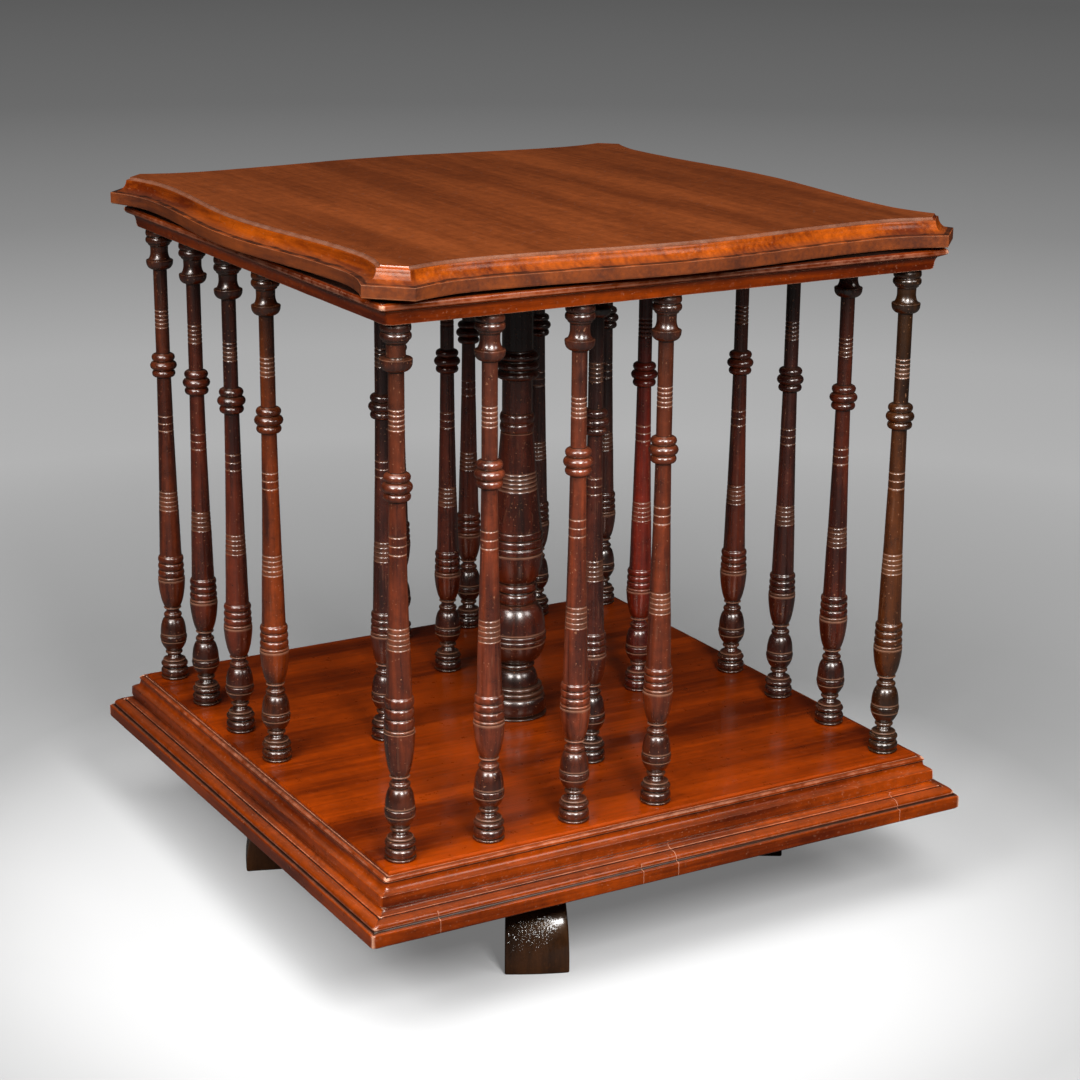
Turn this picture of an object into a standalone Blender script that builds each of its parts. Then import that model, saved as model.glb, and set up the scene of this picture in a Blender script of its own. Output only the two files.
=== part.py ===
"""Revolving bookstand: a square mahogany stand for books that turns on a cross foot.

The foot stands still. Everything above the thrust washer turns about the upright axis
through the middle. Metres, +Z up, the origin on the floor under that axis. The front
side, on the right of the photograph, faces -Y and the left side faces -X.
"""

import math

import bmesh
import bpy
from mathutils import Matrix, Vector

# Clearances between neighbouring pieces
GAP = 0.0003
MOULD_CLEAR = 0.0044

# Driving sizes of the whole stand and of the carousel
STAND_WIDE = 0.4058
STAND_HIGH = 0.4332
INNER_ROW = 0.0936
SPINDLE_R = 0.0097
COLUMN_R = 0.0202
BASE_MARGIN = 0.0145
BASE_THICK = 0.024
BASE_EASE = 0.0010
MOULD_OUT = 0.0204
PEG_WALL = 0.0021
SUBTOP_THICK = 0.016
CORNICE_OUT = 0.0096
TOP_THICK = 0.0145
TOP_LIP = 0.0054
TOP_EDGE = 0.0128
TOP_BOW = 0.0277
TOP_HOLLOW = 0.0176
TOP_EAR = 0.0270
EAR_CANT = 0.0206
HOLLOW_AT = 0.76

# Driving sizes of the foot and its bearing
FOOT_REACH = 0.176
FOOT_WIDTH = 0.0386
FOOT_HEIGHT = 0.0633
FOOT_SOLE = 0.052
FOOT_ARCH = 0.020
FOOT_FACE = 0.021
FOOT_SHOULDER = 0.036
FOOT_TURN = math.radians(-25.0)
PIN_R = 0.006
PIN_REACH = 0.060
BUSH_WALL = 0.002
COLLAR_WIDE = 0.004
PLATE_R = 0.052
PLATE_THICK = 0.004
WASHER_R = 0.030
WASHER_THICK = 0.0025

# Facets of the turned pieces, and of each serpentine side
SPINDLE_SIDES = 8
COLUMN_SIDES = 16
PIN_SIDES = 16
PLATE_SIDES = 24
BOW_STEPS = 8
EAR_STEPS = 3
SHOULDER_STEPS = 5

# Levels and widths that follow from the sizes
LOWER_PLATE_Z = FOOT_HEIGHT + GAP
WASHER_Z = LOWER_PLATE_Z + PLATE_THICK + GAP
UPPER_PLATE_Z = WASHER_Z + WASHER_THICK + GAP
BASE_Z = UPPER_PLATE_Z + PLATE_THICK + GAP
SHELF_Z = BASE_Z + BASE_THICK
TOP_Z = STAND_HIGH - TOP_THICK
SOFFIT_Z = TOP_Z - GAP - SUBTOP_THICK
MOULD_DROP = SHELF_Z - FOOT_HEIGHT - MOULD_CLEAR
PEG_R = SPINDLE_R / 2
BASE_PEG = BASE_THICK / 2
SUBTOP_PEG = SUBTOP_THICK * 0.6
BASE_HALF = STAND_WIDE / 2 - MOULD_OUT
ROW = BASE_HALF - BASE_MARGIN
SUBTOP_HALF = ROW + PEG_R + GAP + PEG_WALL
COLUMN_PEG_R = COLUMN_R * 0.57
COLUMN_TOP_PEG_R = COLUMN_R * 0.42
NUT_HIGH = FOOT_ARCH * 0.4
SIDES = ("front", "right", "back", "left")

# Turned shapes: shares of the height and of the largest radius, from the bottom up
SPINDLE_FOOT = ((0.0, 0.98), (0.038, 0.90), (0.054, 0.42))
SPINDLE_BULB = ((0.066, 0.585), (0.088, 0.88), (0.120, 0.91), (0.139, 0.60))
SPINDLE_COLLAR = ((0.147, 0.58), (0.156, 0.46))
SPINDLE_VASE = ((0.176, 0.73), (0.210, 0.92), (0.300, 0.88), (0.305, 0.80))
SPINDLE_SHAFT = ((0.400, 0.66), (0.678, 0.45), (0.682, 0.72), (0.703, 0.87), (0.726, 0.72), (0.731, 0.435))
SPINDLE_HEAD = ((0.909, 0.415), (0.924, 0.89), (0.941, 0.60), (0.962, 0.58), (0.973, 0.87), (1.0, 0.86))
COLUMN_FOOT = ((0.0, 1.0), (0.027, 1.0), (0.040, 0.84), (0.066, 0.80), (0.090, 0.55))
COLUMN_BULB = ((0.115, 0.76), (0.160, 0.945), (0.200, 0.86), (0.226, 0.60), (0.247, 0.68))
COLUMN_VASE = ((0.268, 0.57), (0.300, 0.73), (0.332, 0.85), (0.375, 0.85), (0.380, 0.80))
COLUMN_NECK = ((0.490, 0.62), (0.600, 0.54), (0.606, 0.64), (0.636, 0.64), (0.642, 0.525))
COLUMN_RING = ((0.702, 0.525), (0.708, 0.67), (0.768, 0.67), (0.774, 0.525), (1.0, 0.525))
SPINDLE_SHAPE = SPINDLE_FOOT + SPINDLE_BULB + SPINDLE_COLLAR + SPINDLE_VASE + SPINDLE_SHAFT + SPINDLE_HEAD
COLUMN_SHAPE = COLUMN_FOOT + COLUMN_BULB + COLUMN_VASE + COLUMN_NECK + COLUMN_RING

# Moulding sections: shares of the projection and of the drop, from the top down
MOULD_HOLLOW = ((0.172, 0.121), (0.132, 0.224), (0.221, 0.291))
MOULD_FASCIA = ((0.392, 0.326), (0.422, 0.476))
MOULD_OVOLO = ((0.618, 0.562), (0.824, 0.607), (0.907, 0.719))
MOULD_FOOT = ((0.990, 0.780), (1.0, 1.0))
MOULD_SECTION = MOULD_HOLLOW + MOULD_FASCIA + MOULD_OVOLO + MOULD_FOOT
CORNICE_SECTION = (
    (1.0, 0.0), (1.0, 0.31), (0.95, 0.40), (0.74, 0.46), (0.47, 0.55), (0.396, 0.69), (0.365, 1.0),
)
# Edge of the top above its lip: shares of the edge width and of the height left
TOP_STEPS = (
    (0.26, 0.03), (0.08, 0.18), (0.11, 0.20), (0.12, 0.14), (0.06, 0.03),
    (0.06, 0.20), (0.12, 0.14), (0.19, 0.08),
)


def socket(radius, sides):
    """Radius of a faceted hole that keeps the gap round a peg turned the same way."""
    return radius + GAP / math.cos(math.pi / sides)


def running(radius, sides):
    """Radius of a faceted hole in which a peg can turn and keep the gap."""
    return (radius + GAP) / math.cos(math.pi / sides)


PIN_BORE = running(PIN_R, PIN_SIDES)
BUSH_R = PIN_BORE + BUSH_WALL


def clear_scene():
    for item in list(bpy.data.objects):
        bpy.data.objects.remove(item, do_unlink=True)


def new_collection(name):
    group = bpy.data.collections.new(name)
    bpy.context.scene.collection.children.link(group)
    return group


def finish_material(name, colour, roughness, metallic=0.0):
    made = bpy.data.materials.new(name)
    made.use_nodes = True
    shader = made.node_tree.nodes["Principled BSDF"]
    shader.inputs["Base Color"].default_value = (*colour, 1.0)
    shader.inputs["Roughness"].default_value = roughness
    shader.inputs["Metallic"].default_value = metallic
    return made


def tidy(mesh):
    """Merge doubled points and turn every face outward."""
    work = bmesh.new()
    work.from_mesh(mesh)
    bmesh.ops.remove_doubles(work, verts=work.verts, dist=1e-6)
    bmesh.ops.recalc_face_normals(work, faces=work.faces)
    work.to_mesh(mesh)
    work.free()
    return mesh


def settled(source):
    """The mesh that a scratch object makes; the scratch object is removed."""
    bpy.context.scene.collection.objects.link(source)
    graph = bpy.context.evaluated_depsgraph_get()
    mesh = bpy.data.meshes.new_from_object(source.evaluated_get(graph))
    bpy.data.objects.remove(source, do_unlink=True)
    return tidy(mesh)


def turned_mesh(name, profile, sides, ring=False):
    """Turn a profile of (radius, height), top to bottom, once round the upright axis."""
    line = bpy.data.meshes.new(name)
    edges = [(i, i + 1) for i in range(len(profile) - 1)]
    if ring:
        edges.append((len(profile) - 1, 0))
    line.from_pydata([(r, 0.0, z) for r, z in profile], edges, [])
    scratch = bpy.data.objects.new(name, line)
    screw = scratch.modifiers.new("turn", "SCREW")
    screw.axis = "Z"
    screw.angle = 2 * math.pi
    screw.steps = sides
    screw.render_steps = sides
    screw.use_merge_vertices = True
    screw.merge_threshold = 0.00001
    mesh = settled(scratch)
    mesh.name = name
    return mesh


def rod(radius, low, high):
    return ((0.0, high), (radius, high), (radius, low), (0.0, low))


def tube(outer, inner, low, high):
    return ((outer, high), (outer, low), (inner, low), (inner, high))


def slab_mesh(name, outline, thick):
    """A flat outline in XZ made solid, its thickness laid along Y about the axis."""
    curve = bpy.data.curves.new(name, "CURVE")
    curve.dimensions = "2D"
    curve.fill_mode = "BOTH"
    curve.extrude = thick / 2
    line = curve.splines.new("POLY")
    line.points.add(len(outline) - 1)
    for point, (x, z) in zip(line.points, outline):
        point.co = (x, z, 0.0, 1.0)
    line.use_cyclic_u = True
    mesh = settled(bpy.data.objects.new(name, curve))
    mesh.name = name
    mesh.transform(Matrix.Rotation(math.pi / 2, 4, "X"))
    return mesh


def board_mesh(name, half, low, high, ease=0.0):
    """A square board; ease takes a small flat off the arrises of its upper face."""
    work = bmesh.new()
    bmesh.ops.create_cube(work, size=1.0)
    bmesh.ops.scale(work, vec=(2 * half, 2 * half, high - low), verts=work.verts)
    bmesh.ops.translate(work, vec=(0.0, 0.0, (low + high) / 2), verts=work.verts)
    if ease:
        level = high - (high - low) / 4
        rim = [e for e in work.edges if all(v.co.z > level for v in e.verts)]
        bmesh.ops.bevel(work, geom=rim, offset=ease, segments=1, affect="EDGES", profile=0.5)
    mesh = bpy.data.meshes.new(name)
    work.to_mesh(mesh)
    work.free()
    return mesh


def mitred_mesh(name, section, quarter):
    """One side of a square frame: a section of (distance out, height), mitred at both ends."""
    back_off = GAP / math.sqrt(2)
    work = bmesh.new()
    end = [work.verts.new((back_off - out, -out, z)) for out, z in section]
    face = work.faces.new(end)
    moved = bmesh.ops.extrude_face_region(work, geom=[face])["geom"]
    for part in moved:
        if isinstance(part, bmesh.types.BMVert):
            part.co.x = -part.co.y - back_off
    bmesh.ops.recalc_face_normals(work, faces=work.faces)
    mesh = bpy.data.meshes.new(name)
    work.to_mesh(mesh)
    work.free()
    mesh.transform(Matrix.Rotation(quarter * math.pi / 2, 4, "Z"))
    return mesh


def place(name, mesh, finish, parent, group, at=(0.0, 0.0, 0.0)):
    item = bpy.data.objects.new(name, mesh)
    item.location = at
    item.parent = parent
    if finish:
        mesh.materials.clear()
        mesh.materials.append(finish)
        mesh.shade_smooth()
        mesh.set_sharp_from_angle(angle=math.radians(32.0))
    group.objects.link(item)
    return item


def place_cutter(name, meshes, group):
    """Several closed cutters joined into one object."""
    work = bmesh.new()
    for mesh, at in meshes:
        copy = mesh.copy()
        copy.transform(Matrix.Translation(at))
        work.from_mesh(copy)
        bpy.data.meshes.remove(copy)
    joined = bpy.data.meshes.new(name)
    work.to_mesh(joined)
    work.free()
    item = place(name, joined, None, None, group)
    item.hide_render = True
    item.display_type = "WIRE"
    return item


def cut(item, cutter):
    away = item.modifiers.new(cutter.name, "BOOLEAN")
    away.operation = "DIFFERENCE"
    away.solver = "EXACT"
    away.object = cutter


def spindle_places():
    """Name and plan position of every spindle, the same pattern on each side in turn."""
    found = []
    for quarter, side in enumerate(SIDES):
        turn = Matrix.Rotation(quarter * math.pi / 2, 3, "Z")
        for step in range(4):
            spot = turn @ Vector((step * ROW / 3 - ROW, -ROW, 0.0))
            found.append((f"spindle_{side}_{step + 1}", spot))
        found.append((f"spindle_{side}_inner", turn @ Vector((0.0, -INNER_ROW, 0.0))))
    return found


def pegged_profile(shape, radius, low_peg, high_peg):
    """Profile, top to bottom, of a turned piece with a round peg at each end."""
    low = SHELF_Z + GAP
    high = SOFFIT_Z - GAP
    body = [(r * radius, low + z * (high - low)) for z, r in reversed(shape)]
    head = [(0.0, SOFFIT_Z + SUBTOP_PEG), (high_peg, SOFFIT_Z + SUBTOP_PEG), (high_peg, high)]
    tail = [(low_peg, low), (low_peg, SHELF_Z - BASE_PEG)]
    return head + body + tail


def top_outline():
    """Plan of the top: a bow in the middle of each side, a hollow, then a canted corner."""
    tip = ROW + TOP_EAR
    end = tip - EAR_CANT
    low = end * HOLLOW_AT
    side = []
    for step in range(BOW_STEPS // 2 + 1):
        share = 2 * step / BOW_STEPS
        swell = 0.5 + 0.5 * math.cos(math.pi * share)
        side.append((share * low, ROW + TOP_HOLLOW + (TOP_BOW - TOP_HOLLOW) * swell))
    for step in range(1, EAR_STEPS + 1):
        share = step / EAR_STEPS
        side.append((low + share * (end - low), ROW + TOP_HOLLOW + (TOP_EAR - TOP_HOLLOW) * share ** 2))
    side = [(-along, out) for along, out in reversed(side[1:])] + side
    points = []
    for quarter in range(4):
        turn = Matrix.Rotation(quarter * math.pi / 2, 3, "Z")
        points += [turn @ Vector((along, -out, TOP_Z)) for along, out in side]
    return points


def top_mesh(name):
    """The top board: its plan raised to the lip, then stepped in along the moulded edge."""
    work = bmesh.new()
    face = work.faces.new([work.verts.new(p) for p in top_outline()])
    raised = bmesh.ops.extrude_face_region(work, geom=[face])["geom"]
    upper = [p for p in raised if isinstance(p, bmesh.types.BMFace)]
    rim = [p for p in raised if isinstance(p, bmesh.types.BMVert)]
    bmesh.ops.translate(work, vec=(0.0, 0.0, TOP_LIP), verts=rim)
    bmesh.ops.recalc_face_normals(work, faces=work.faces)
    for inward, upward in TOP_STEPS:
        bmesh.ops.inset_region(
            work, faces=upper, thickness=inward * TOP_EDGE,
            depth=upward * (TOP_THICK - TOP_LIP), use_even_offset=True, use_boundary=True,
        )
    mesh = bpy.data.meshes.new(name)
    work.to_mesh(mesh)
    work.free()
    return mesh


def rail_outline():
    """Side view of a foot rail: soles at the ends, an arch between, rounded shoulders."""
    half = [(0.0, FOOT_ARCH), (FOOT_REACH - FOOT_SOLE - 1.6 * FOOT_ARCH, FOOT_ARCH)]
    half.append((FOOT_REACH - FOOT_SOLE - 0.6 * FOOT_ARCH, 0.72 * FOOT_ARCH))
    half.append((FOOT_REACH - FOOT_SOLE, 0.0))
    half.append((FOOT_REACH, 0.0))
    for step in range(SHOULDER_STEPS + 1):
        angle = math.pi / 2 * step / SHOULDER_STEPS
        x = FOOT_REACH - FOOT_SHOULDER * (1 - math.cos(angle))
        half.append((x, FOOT_FACE + (FOOT_HEIGHT - FOOT_FACE) * math.sin(angle)))
    return half[1:] + [(-x, z) for x, z in reversed(half[1:])]


def build_foot(stand, cutters, finishes):
    root = bpy.data.objects.new("foot", None)
    stand.objects.link(root)
    middle = (FOOT_ARCH + FOOT_HEIGHT) / 2
    slot_half = FOOT_WIDTH / 2 + GAP
    bore = turned_mesh("bore", rod(PIN_BORE, -FOOT_HEIGHT, 2 * FOOT_HEIGHT), PIN_SIDES)
    for name, turn, low, high in (
        ("foot_rail_lower", FOOT_TURN, middle - GAP / 2, 2 * FOOT_HEIGHT),
        ("foot_rail_upper", FOOT_TURN + math.pi / 2, -FOOT_HEIGHT, middle + GAP / 2),
    ):
        mesh = slab_mesh(name, rail_outline(), FOOT_WIDTH)
        mesh.transform(Matrix.Rotation(turn, 4, "Z"))
        rail = place(name, mesh, finishes["foot"], root, stand)
        slot = [(-slot_half, low), (slot_half, low), (slot_half, high), (-slot_half, high)]
        notch = slab_mesh("notch", slot, 2 * FOOT_WIDTH)
        notch.transform(Matrix.Rotation(turn, 4, "Z"))
        cut(rail, place_cutter(f"{name}_notch", [(notch, (0.0, 0.0, 0.0))], cutters))
        cut(rail, place_cutter(f"{name}_bore", [(bore, (0.0, 0.0, 0.0))], cutters))
    collar = PIN_R + COLLAR_WIDE
    pin = (
        (0.0, SHELF_Z + PIN_REACH), (PIN_R, SHELF_Z + PIN_REACH), (PIN_R, WASHER_Z + WASHER_THICK),
        (collar, WASHER_Z + WASHER_THICK), (collar, WASHER_Z), (PIN_R, WASHER_Z),
        (PIN_R, FOOT_ARCH - GAP - 1.2 * NUT_HIGH), (0.0, FOOT_ARCH - GAP - 1.2 * NUT_HIGH),
    )
    nut = tube(2 * PIN_R, running(PIN_R, 6), FOOT_ARCH - GAP - NUT_HIGH, FOOT_ARCH - GAP)
    plate = tube(PLATE_R, PIN_BORE, LOWER_PLATE_Z, LOWER_PLATE_Z + PLATE_THICK)
    washer = tube(WASHER_R, running(collar, PLATE_SIDES), WASHER_Z, WASHER_Z + WASHER_THICK)
    for name, profile, sides, ring, finish in (
        ("pivot_pin", pin, PIN_SIDES, False, "steel"),
        ("pivot_nut", nut, 6, True, "steel"),
        ("bearing_plate_lower", plate, PLATE_SIDES, True, "iron"),
        ("thrust_washer", washer, PLATE_SIDES, True, "brass"),
    ):
        place(name, turned_mesh(name, profile, sides, ring), finishes[finish], root, stand)


def build_carousel(stand, cutters, finishes):
    root = bpy.data.objects.new("carousel", None)
    stand.objects.link(root)
    plate = tube(PLATE_R, running(PIN_R, PLATE_SIDES), UPPER_PLATE_Z, UPPER_PLATE_Z + PLATE_THICK)
    bush = tube(BUSH_R, PIN_BORE, BASE_Z, SHELF_Z - BASE_PEG - GAP)
    plate_mesh = turned_mesh("bearing_plate_upper", plate, PLATE_SIDES, True)
    place("bearing_plate_upper", plate_mesh, finishes["iron"], root, stand)
    place("pivot_bush", turned_mesh("pivot_bush", bush, PIN_SIDES, True), finishes["brass"], root, stand)

    base = board_mesh("base_board", BASE_HALF, BASE_Z, SHELF_Z, BASE_EASE)
    base = place("base_board", base, finishes["base"], root, stand)
    subtop = board_mesh("subtop_board", SUBTOP_HALF, SOFFIT_Z, SOFFIT_Z + SUBTOP_THICK)
    subtop = place("subtop_board", subtop, finishes["top"], root, stand)
    place("top_board", top_mesh("top_board"), finishes["top"], root, stand)

    mould = [(BASE_HALF + x * MOULD_OUT, SHELF_Z - z * MOULD_DROP) for x, z in MOULD_SECTION]
    mould += [(BASE_HALF + GAP, mould[-1][1]), (BASE_HALF + GAP, mould[0][1])]
    rise = SUBTOP_THICK
    cornice = [(SUBTOP_HALF + x * CORNICE_OUT, SOFFIT_Z + rise * (1 - z)) for x, z in CORNICE_SECTION]
    cornice += [(SUBTOP_HALF + GAP, SOFFIT_Z), (SUBTOP_HALF + GAP, SOFFIT_Z + rise)]
    for quarter, side in enumerate(SIDES):
        name = f"base_mould_{side}"
        place(name, mitred_mesh(name, mould, quarter), finishes["moulding"], root, stand)
        name = f"cornice_{side}"
        place(name, mitred_mesh(name, cornice, quarter), finishes["moulding"], root, stand)

    profile = pegged_profile(COLUMN_SHAPE, COLUMN_R, COLUMN_PEG_R, COLUMN_TOP_PEG_R)
    bore_top = SHELF_Z + PIN_REACH + 2 * GAP
    profile += [(PIN_BORE, SHELF_Z - BASE_PEG), (PIN_BORE, bore_top), (0.0, bore_top)]
    place("column", turned_mesh("column", profile, COLUMN_SIDES), finishes["turned"], root, stand)

    profile = pegged_profile(SPINDLE_SHAPE, SPINDLE_R, PEG_R, PEG_R)
    profile.append((0.0, SHELF_Z - BASE_PEG))
    spindle = turned_mesh("spindle", profile, SPINDLE_SIDES)
    for name, spot in spindle_places():
        place(name, spindle, finishes["turned"], root, stand, spot)

    centre = (0.0, 0.0, 0.0)
    reach = 2 * BASE_THICK
    low_peg = rod(socket(PEG_R, SPINDLE_SIDES), SHELF_Z - BASE_PEG - GAP, SHELF_Z + reach)
    low_column = rod(socket(COLUMN_PEG_R, COLUMN_SIDES), SHELF_Z - BASE_PEG - GAP, SHELF_Z + reach)
    bush_hole = rod(socket(BUSH_R, PIN_SIDES), BASE_Z - reach, SHELF_Z)
    high_peg = rod(socket(PEG_R, SPINDLE_SIDES), SOFFIT_Z - reach, SOFFIT_Z + SUBTOP_PEG + GAP)
    high_column = rod(socket(COLUMN_TOP_PEG_R, COLUMN_SIDES), SOFFIT_Z - reach, SOFFIT_Z + SUBTOP_PEG + GAP)
    low_mesh = turned_mesh("low_peg", low_peg, SPINDLE_SIDES)
    high_mesh = turned_mesh("high_peg", high_peg, SPINDLE_SIDES)
    spots = [spot for _, spot in spindle_places()]
    low_holes = [(low_mesh, spot) for spot in spots]
    low_holes.append((turned_mesh("low_column", low_column, COLUMN_SIDES), centre))
    high_holes = [(high_mesh, spot) for spot in spots]
    high_holes.append((turned_mesh("high_column", high_column, COLUMN_SIDES), centre))
    cut(base, place_cutter("base_holes", low_holes, cutters))
    through = [(turned_mesh("bush_hole", bush_hole, PIN_SIDES), centre)]
    cut(base, place_cutter("base_bush_hole", through, cutters))
    cut(subtop, place_cutter("subtop_holes", high_holes, cutters))


def main():
    clear_scene()
    stand = new_collection("revolving_bookstand")
    cutters = new_collection("cutters")
    finishes = {
        "top": finish_material("mahogany_top", (0.155, 0.043, 0.017), 0.30),
        "base": finish_material("mahogany_base", (0.190, 0.040, 0.014), 0.26),
        "moulding": finish_material("mahogany_moulding", (0.260, 0.045, 0.010), 0.24),
        "turned": finish_material("mahogany_turned", (0.062, 0.017, 0.012), 0.16),
        "foot": finish_material("ebonised_foot", (0.018, 0.010, 0.008), 0.34),
        "iron": finish_material("bearing_iron", (0.060, 0.058, 0.055), 0.55, 1.0),
        "steel": finish_material("pivot_steel", (0.420, 0.420, 0.430), 0.35, 1.0),
        "brass": finish_material("bearing_brass", (0.620, 0.440, 0.160), 0.30, 1.0),
    }
    build_foot(stand, cutters, finishes)
    build_carousel(stand, cutters, finishes)


main()
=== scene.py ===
# %% [markdown]
# # A revolving bookstand of polished mahogany
# The stand is a square base board on a cross foot, twenty turned spindles round a turned column,
# and a top with serpentine sides. Everything above the foot turns together. The solids of the
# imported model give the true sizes, so they are loaded first, and every finer piece takes its
# place from them.

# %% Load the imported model
import math
import random

import bmesh
import bpy
from mathutils import Matrix, Vector, noise


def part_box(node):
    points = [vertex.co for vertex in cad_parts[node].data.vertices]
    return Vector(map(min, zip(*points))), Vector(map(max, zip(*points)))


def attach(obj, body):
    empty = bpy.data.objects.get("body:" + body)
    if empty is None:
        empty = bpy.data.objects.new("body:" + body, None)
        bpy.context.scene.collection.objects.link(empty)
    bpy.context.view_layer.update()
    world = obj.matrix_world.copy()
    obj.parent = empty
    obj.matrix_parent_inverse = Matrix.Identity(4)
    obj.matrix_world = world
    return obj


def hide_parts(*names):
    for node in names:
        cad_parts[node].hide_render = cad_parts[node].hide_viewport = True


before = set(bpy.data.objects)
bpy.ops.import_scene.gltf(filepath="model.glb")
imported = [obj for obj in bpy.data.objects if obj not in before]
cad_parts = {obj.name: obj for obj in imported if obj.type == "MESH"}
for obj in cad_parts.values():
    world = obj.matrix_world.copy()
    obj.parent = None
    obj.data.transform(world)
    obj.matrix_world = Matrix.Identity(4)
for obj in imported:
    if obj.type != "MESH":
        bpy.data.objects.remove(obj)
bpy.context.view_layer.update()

MM = 0.001

# %% [markdown]
# ## The levels that the pieces share
# A joiner marks the heights of the boards on one rod. They could be typed in again here, but
# after a change of size a spindle would then miss its board, so they are read from the boxes of
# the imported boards.

# %% Measure the levels
shelf_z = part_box("base_board")[1].z
soffit_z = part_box("subtop_board")[0].z
top_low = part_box("top_board")[0].z
BOOK_SPACE = (soffit_z - shelf_z) / MM
JOINT_GAP = 0.3
print("book space", round(BOOK_SPACE, 1), "mm high")

# %% [markdown]
# ## The camera
# The photograph was taken from the front left, a little above the top, with a long lens. A camera
# aimed by eye would show each piece a little out of place, so its place and angles were worked
# out from the corners of the base and of the top.

# %% Set up the camera
AZIMUTH = math.radians(-30.09)
ELEVATION = math.radians(16.70)
ROLL = math.radians(0.50)
LENS = 79.66
SENSOR_WIDE = 36.0
CAMERA_PLACE = (-0.71487, -1.26355, 0.65071)
back = Vector((
    math.sin(AZIMUTH) * math.cos(ELEVATION),
    -math.cos(AZIMUTH) * math.cos(ELEVATION),
    math.sin(ELEVATION),
))
level = Vector((math.cos(AZIMUTH), math.sin(AZIMUTH), 0.0))
upward = back.cross(level)
right = math.cos(ROLL) * level + math.sin(ROLL) * upward
upward = math.cos(ROLL) * upward - math.sin(ROLL) * level
camera_data = bpy.data.cameras.new("photo_camera")
camera_data.sensor_width = SENSOR_WIDE
camera_data.lens = LENS
camera = bpy.data.objects.new("photo_camera", camera_data)
facing = Matrix((right, upward, back)).transposed().to_4x4()
camera.matrix_world = Matrix.Translation(CAMERA_PLACE) @ facing
bpy.context.scene.collection.objects.link(camera)
bpy.context.scene.camera = camera
print("camera at", [round(v, 3) for v in camera.location])

# %% [markdown]
# ## Small tools for materials
# Every finish is a tree of nodes. They could be placed by hand in the shader editor, but a script
# makes the same tree every time. Short helpers keep it readable.

# %% Define helpers for node trees
def plug(tree, node, inputs):
    """Fill inputs of a node, each known by name or number, with values or other nodes' sockets."""
    for key, value in inputs.items():
        if isinstance(value, bpy.types.NodeSocket):
            tree.links.new(value, node.inputs[key])
        else:
            node.inputs[key].default_value = value


def add_node(tree, kind, inputs=None, **settings):
    made = tree.nodes.new(kind)
    for key, value in settings.items():
        setattr(made, key, value)
    plug(tree, made, inputs or {})
    return made


def add_ramp(tree, factor, stops):
    """A colour ramp; stops are (place, colour)."""
    ramp = add_node(tree, "ShaderNodeValToRGB", {"Fac": factor})
    points = ramp.color_ramp.elements
    while len(points) < len(stops):
        points.new(0.5)
    for point, (place, colour) in zip(points, stops):
        point.position = place
        point.color = (*colour, 1.0)
    return ramp.outputs["Color"]


def mixed(tree, factor, first, second, blend="MIX"):
    """Two colours mixed; each may be a socket or a colour."""
    pair = [c if isinstance(c, bpy.types.NodeSocket) else (*c, 1.0) for c in (first, second)]
    inputs = {0: factor, 6: pair[0], 7: pair[1]}
    return add_node(tree, "ShaderNodeMix", inputs, data_type="RGBA", blend_type=blend).outputs[2]


def calculate(tree, operation, *values, clamp=False):
    inputs = dict(enumerate(values))
    return add_node(tree, "ShaderNodeMath", inputs, operation=operation, use_clamp=clamp).outputs[0]


def spread(tree, value, source, target):
    """A value that lies between the two numbers of source, moved between those of target."""
    return add_node(tree, "ShaderNodeMapRange", dict(enumerate((value, *source, *target)))).outputs[0]


def grey(value):
    return (value, value, value)


def new_finish(name):
    """A new material, its node tree and its shader."""
    made = bpy.data.materials.new(name)
    made.use_nodes = True
    return made, made.node_tree, made.node_tree.nodes["Principled BSDF"]


print("a middle grey is", grey(0.5))

# %% [markdown]
# ## What only the camera sees
# The photograph has a white floor, yet the polished wood mirrors a dark studio. Dark cloths round
# the stand would do that. Here the floor and the surroundings ask what kind of ray has met them:
# the camera sees pale ones, and light in the room meets dark ones.

# %% Define what the camera sees
MIRRORED = 0.03


def seen_share(tree):
    """1 for rays from the camera or through glass, a little for mirrored ones, 0 for other light."""
    ray = add_node(tree, "ShaderNodeLightPath").outputs
    mirrored = calculate(tree, "MULTIPLY_ADD", ray["Is Glossy Ray"], MIRRORED, ray["Is Transmission Ray"])
    return calculate(tree, "ADD", mirrored, ray["Is Camera Ray"], clamp=True)


print("a mirror shows", MIRRORED, "of the pale floor")

# %% [markdown]
# ## The floor
# The stand was photographed on a white sweep that fades to grey behind it. A bent sheet would
# look right from one side only, so a wide disc goes from white under the stand to grey further
# out. The lamps hardly reach the far part, so it shines a little by itself.

# %% Make the floor
FLOOR_RADIUS = 40.0
SWEEP_REACH = 8.0
ROOM_FLOOR = grey(0.06)
FLOOR_TONES = [
    (0.000, 0.53), (0.028, 0.52), (0.036, 0.48), (0.042, 0.43), (0.050, 0.34), (0.058, 0.32),
    (1.000, 0.20),
]
# Painted light: the glow is also strong under and near the stand, where it lightens the stand's shadow.
FLOOR_GLOW = [
    (0.000, 0.16), (0.030, 0.16), (0.050, 0.06), (0.070, 0.08), (0.100, 0.16), (0.140, 0.28),
    (0.200, 0.30), (0.330, 0.20), (0.550, 0.13), (1.000, 0.10),
]
work = bmesh.new()
bmesh.ops.create_circle(work, cap_ends=True, segments=96, radius=FLOOR_RADIUS)
floor_mesh = bpy.data.meshes.new("floor")
work.to_mesh(floor_mesh)
work.free()
sweep, tree, shader = new_finish("floor_sweep")
place = add_node(tree, "ShaderNodeTexCoord").outputs["Object"]
away = add_node(tree, "ShaderNodeVectorMath", {0: place}, operation="LENGTH").outputs["Value"]
share = calculate(tree, "DIVIDE", away, SWEEP_REACH)
tone = add_ramp(tree, share, [(at, grey(value)) for at, value in FLOOR_TONES])
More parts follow.
